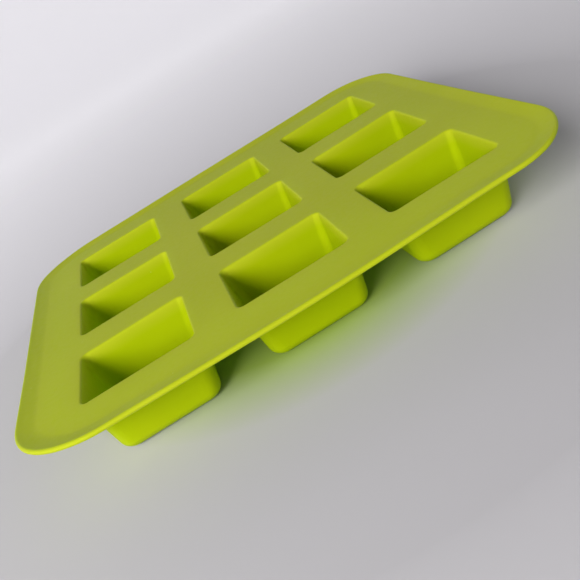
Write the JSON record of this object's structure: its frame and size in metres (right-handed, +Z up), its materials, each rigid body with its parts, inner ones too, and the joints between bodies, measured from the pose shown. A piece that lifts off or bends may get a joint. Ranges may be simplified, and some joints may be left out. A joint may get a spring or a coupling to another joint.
{
  "type": "soap mould tray",
  "caption": "Flexible silicone soap mould tray: a thin rounded-square deck with a raised rim, and rectangular block-shaped cups hanging below it in a grid.",
  "frame": {"origin": "on the surface that the cups stand on, below the middle of the tray", "axes": "+X along the longer side of the tray, +Y from the front row to the back row, +Z up out of the cavities' mouths"},
  "size_m": [0.244, 0.222, 0.0321],
  "materials": {
    "silicone": "matte lime-green silicone with a soft sheen, slightly translucent in thin places"
  },
  "bodies": {
    "root": {"deck_sheet": "silicone", "rim_lip": "silicone", "edge_bead": "silicone", "cup_front_left": "silicone", "cup_front_middle": "silicone", "cup_front_right": "silicone", "cup_middle_left": "silicone", "cup_middle_middle": "silicone", "cup_middle_right": "silicone", "cup_back_left": "silicone", "cup_back_middle": "silicone", "cup_back_right": "silicone"}
  },
  "joints": []
}
